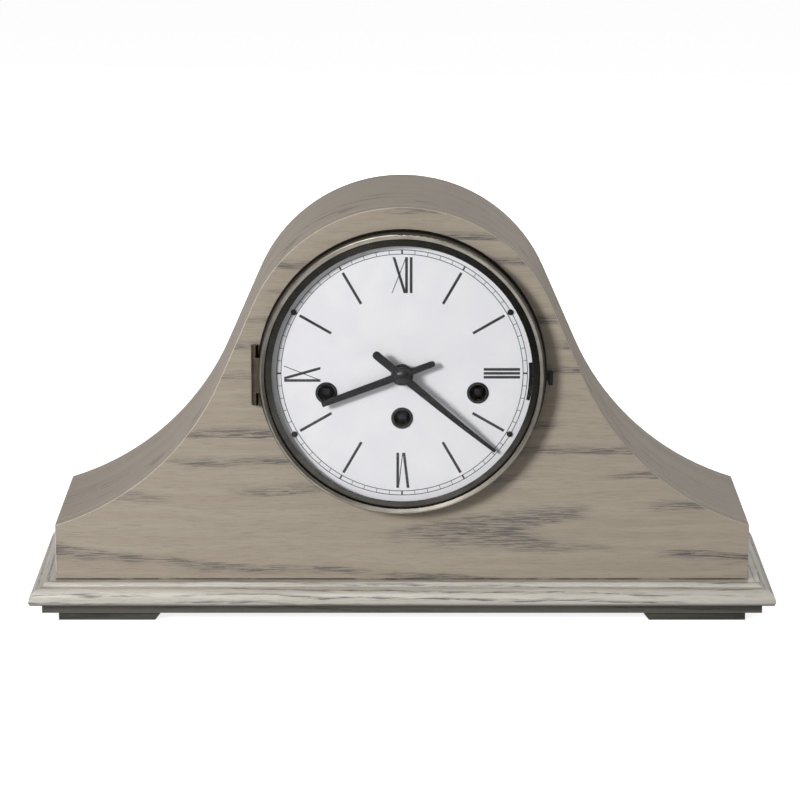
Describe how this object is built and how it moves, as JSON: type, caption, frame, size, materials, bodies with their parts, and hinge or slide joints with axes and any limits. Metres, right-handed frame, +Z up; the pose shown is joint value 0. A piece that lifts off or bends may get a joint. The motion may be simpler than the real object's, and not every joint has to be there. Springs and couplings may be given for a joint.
{
  "type": "mantel clock",
  "caption": "Humped wooden mantel clock with a hinged glazed dial door, hands, winding squares, a key-wound chiming movement with hammers and rods, and a back door.",
  "frame": {"origin": "on the table, under the middle of the clock's bounding box", "axes": "+X to the right seen from the dial side, +Y to the back, +Z up"},
  "size_m": [0.4444, 0.1508, 0.2487],
  "materials": {
    "grey_oak": "grey-washed open grain, satin",
    "inner_wood": "plain unpolished wood",
    "dial_white": "matt white",
    "dark_bronze": "dark bronze, polished",
    "black_metal": "satin black",
    "hand_black": "gloss black",
    "clear_glass": "clear polished",
    "brass": "lacquered brass",
    "steel": "ground steel",
    "bronze_rod": "drawn bronze",
    "iron": "painted cast iron"
  },
  "bodies": {
    "case": {"case_front": "grey_oak", "case_hood": "grey_oak", "plinth": "grey_oak", "feet": "grey_oak", "back_frame": "inner_wood", "dial_ring": "dark_bronze", "dial_plate": "dial_white", "dial_screws": "black_metal", "winding_grommets": "dark_bronze", "case_hinge_leaf": "dark_bronze", "door_hinge_pin": "dark_bronze", "front_plate": "brass", "back_plate": "brass", "plate_pillars": "brass", "pillar_nuts": "steel", "movement_spacers": "steel", "movement_screws": "steel", "balance_cock": "brass", "hammer_frame": "steel", "chime_rods": "bronze_rod", "rod_block": "iron", "back_hinge_frame_leaves": "brass"},
    "bezel_door": {"bezel_ring": "dark_bronze", "bezel_inner_ring": "black_metal", "door_glass": "clear_glass", "glass_retainer": "steel", "door_pull_tab": "black_metal", "door_hinge_leaf": "dark_bronze"},
    "minute": {"centre_arbor": "brass", "cannon_pinion": "steel", "minute_hand": "hand_black", "hand_nut": "hand_black"},
    "hour": {"hour_wheel": "brass", "hour_hand": "hand_black"},
    "minute_wheel": {"minute_wheel": "brass"},
    "time_barrel": {"time_barrel": "brass"},
    "third_wheel": {"third_wheel": "brass"},
    "escape_wheel": {"escape_wheel": "brass"},
    "pallet_fork": {"pallet_fork": "steel"},
    "balance_wheel": {"balance_wheel": "brass"},
    "chime_barrel": {"chime_barrel": "brass"},
    "chime_drum": {"chime_drum": "brass"},
    "chime_fly": {"chime_fly": "steel"},
    "strike_barrel": {"strike_barrel": "brass"},
    "strike_second_wheel": {"strike_second_wheel": "brass"},
    "strike_fly": {"strike_fly": "steel"},
    "time_winding": {"time_winding_arbor": "steel"},
    "chime_winding": {"chime_winding_arbor": "steel"},
    "strike_winding": {"strike_winding_arbor": "steel"},
    "time_click": {"time_click": "steel"},
    "chime_click": {"chime_click": "steel"},
    "strike_click": {"strike_click": "steel"},
    "hammer_1": {"chime_hammer_1": "brass"},
    "hammer_2": {"chime_hammer_2": "brass"},
    "hammer_3": {"chime_hammer_3": "brass"},
    "hammer_4": {"chime_hammer_4": "brass"},
    "silent_lever": {"chime_silent_lever": "steel"},
    "back_door": {"back_door": "inner_wood", "back_hinge_door_leaves": "brass", "back_door_knob": "dark_bronze"}
  },
  "joints": [
    {"name": "door_hinge", "type": "hinge", "parent": "case", "child": "bezel_door", "pos_m": [-0.0868, -0.0572, 0.1491], "axis": [0, 0, -1], "range_deg": [0, 110]},
    {"name": "minute_hand_turn", "type": "hinge", "parent": "case", "child": "minute", "pos_m": [0, -0.0549, 0.1505], "axis": [0, 1, 0], "continuous": true},
    {"name": "hour_hand_turn", "type": "hinge", "parent": "case", "child": "hour", "pos_m": [0, -0.0549, 0.1505], "axis": [0, 1, 0], "continuous": true},
    {"name": "minute_wheel_turn", "type": "hinge", "parent": "case", "child": "minute_wheel", "pos_m": [-0.01039, -0.0399, 0.1565], "axis": [0, 1, 0], "continuous": true},
    {"name": "time_barrel_turn", "type": "hinge", "parent": "case", "child": "time_barrel", "pos_m": [0, -0.0249, 0.1235], "axis": [0, 1, 0], "continuous": true},
    {"name": "third_wheel_turn", "type": "hinge", "parent": "case", "child": "third_wheel", "pos_m": [0.01273, -0.0149, 0.16323], "axis": [0, 1, 0], "continuous": true},
    {"name": "escape_wheel_turn", "type": "hinge", "parent": "case", "child": "escape_wheel", "pos_m": [0, 0.0051, 0.1745], "axis": [0, 1, 0], "continuous": true},
    {"name": "balance_swing", "type": "hinge", "parent": "case", "child": "balance_wheel", "pos_m": [0, 0.0101, 0.1936], "axis": [0, 1, 0], "range_deg": [-135, 135]},
    {"name": "pallet_rock", "type": "hinge", "parent": "case", "child": "pallet_fork", "pos_m": [0, 0.0071, 0.1831], "axis": [0, 1, 0], "range_deg": [-6, 6]},
    {"name": "chime_barrel_turn", "type": "hinge", "parent": "case", "child": "chime_barrel", "pos_m": [0.0446, -0.0149, 0.1387], "axis": [0, 1, 0], "continuous": true},
    {"name": "chime_drum_turn", "type": "hinge", "parent": "case", "child": "chime_drum", "pos_m": [0.03405, 0.0251, 0.11258], "axis": [0, 1, 0], "continuous": true},
    {"name": "chime_fly_turn", "type": "hinge", "parent": "case", "child": "chime_fly", "pos_m": [0.04617, -0.0149, 0.10558], "axis": [0, 1, 0], "continuous": true},
    {"name": "strike_barrel_turn", "type": "hinge", "parent": "case", "child": "strike_barrel", "pos_m": [-0.0446, -0.0149, 0.1387], "axis": [0, 1, 0], "continuous": true},
    {"name": "strike_second_turn", "type": "hinge", "parent": "case", "child": "strike_second_wheel", "pos_m": [-0.04939, -0.0149, 0.16587], "axis": [0, 1, 0], "continuous": true},
    {"name": "strike_fly_turn", "type": "hinge", "parent": "case", "child": "strike_fly", "pos_m": [-0.04089, -0.0149, 0.18059], "axis": [0, 1, 0], "continuous": true},
    {"name": "time_winding_turn", "type": "hinge", "parent": "case", "child": "time_winding", "pos_m": [0, -0.0549, 0.1235], "axis": [0, 1, 0], "continuous": true},
    {"name": "chime_winding_turn", "type": "hinge", "parent": "case", "child": "chime_winding", "pos_m": [0.0446, -0.0549, 0.1387], "axis": [0, 1, 0], "continuous": true},
    {"name": "strike_winding_turn", "type": "hinge", "parent": "case", "child": "strike_winding", "pos_m": [-0.0446, -0.0549, 0.1387], "axis": [0, 1, 0], "continuous": true},
    {"name": "time_click_lift", "type": "hinge", "parent": "case", "child": "time_click", "pos_m": [0.01126, -0.0399, 0.117], "axis": [0, -1, 0], "range_deg": [0, 12], "stiffness_Nm_per_rad": 0.002, "springref_deg": -5.73},
    {"name": "chime_click_lift", "type": "hinge", "parent": "case", "child": "chime_click", "pos_m": [0.0511, -0.0399, 0.14996], "axis": [0, -1, 0], "range_deg": [0, 12], "stiffness_Nm_per_rad": 0.002, "springref_deg": -5.73},
    {"name": "strike_click_lift", "type": "hinge", "parent": "case", "child": "strike_click", "pos_m": [-0.0381, -0.0399, 0.14996], "axis": [0, -1, 0], "range_deg": [0, 12], "stiffness_Nm_per_rad": 0.002, "springref_deg": -5.73},
    {"name": "hammer_1_lift", "type": "hinge", "parent": "case", "child": "hammer_1", "pos_m": [0.016, 0.0151, 0.1035], "axis": [0, 1, 0], "range_deg": [0, 18]},
    {"name": "hammer_2_lift", "type": "hinge", "parent": "case", "child": "hammer_2", "pos_m": [0.016, 0.0251, 0.1035], "axis": [0, 1, 0], "range_deg": [0, 18]},
    {"name": "hammer_3_lift", "type": "hinge", "parent": "case", "child": "hammer_3", "pos_m": [0.016, 0.0351, 0.1035], "axis": [0, 1, 0], "range_deg": [0, 18]},
    {"name": "hammer_4_lift", "type": "hinge", "parent": "case", "child": "hammer_4", "pos_m": [0.016, 0.0451, 0.1035], "axis": [0, 1, 0], "range_deg": [0, 18]},
    {"name": "silent_lever_move", "type": "hinge", "parent": "case", "child": "silent_lever", "pos_m": [0, -0.0579, 0.1505], "axis": [0, -1, 0], "range_deg": [0, 11.5]},
    {"name": "back_door_hinge", "type": "hinge", "parent": "case", "child": "back_door", "pos_m": [-0.076, 0.0689, 0.1015], "axis": [0, 0, 1], "range_deg": [0, 110]}
  ],
  "couplings": [
    {"joint": "hour_hand_turn", "follows": "minute_hand_turn", "ratio": 0.083333},
    {"joint": "minute_wheel_turn", "follows": "minute_hand_turn", "ratio": -0.33333},
    {"joint": "time_barrel_turn", "follows": "minute_hand_turn", "ratio": -0.095238},
    {"joint": "third_wheel_turn", "follows": "minute_hand_turn", "ratio": -8},
    {"joint": "escape_wheel_turn", "follows": "minute_hand_turn", "ratio": 60},
    {"joint": "pallet_rock", "follows": "balance_swing", "ratio": -0.037037},
    {"joint": "chime_drum_turn", "follows": "chime_barrel_turn", "ratio": -7},
    {"joint": "chime_fly_turn", "follows": "chime_barrel_turn", "ratio": 42},
    {"joint": "strike_second_turn", "follows": "strike_barrel_turn", "ratio": -8.4},
    {"joint": "strike_fly_turn", "follows": "strike_barrel_turn", "ratio": 63}
  ]
}
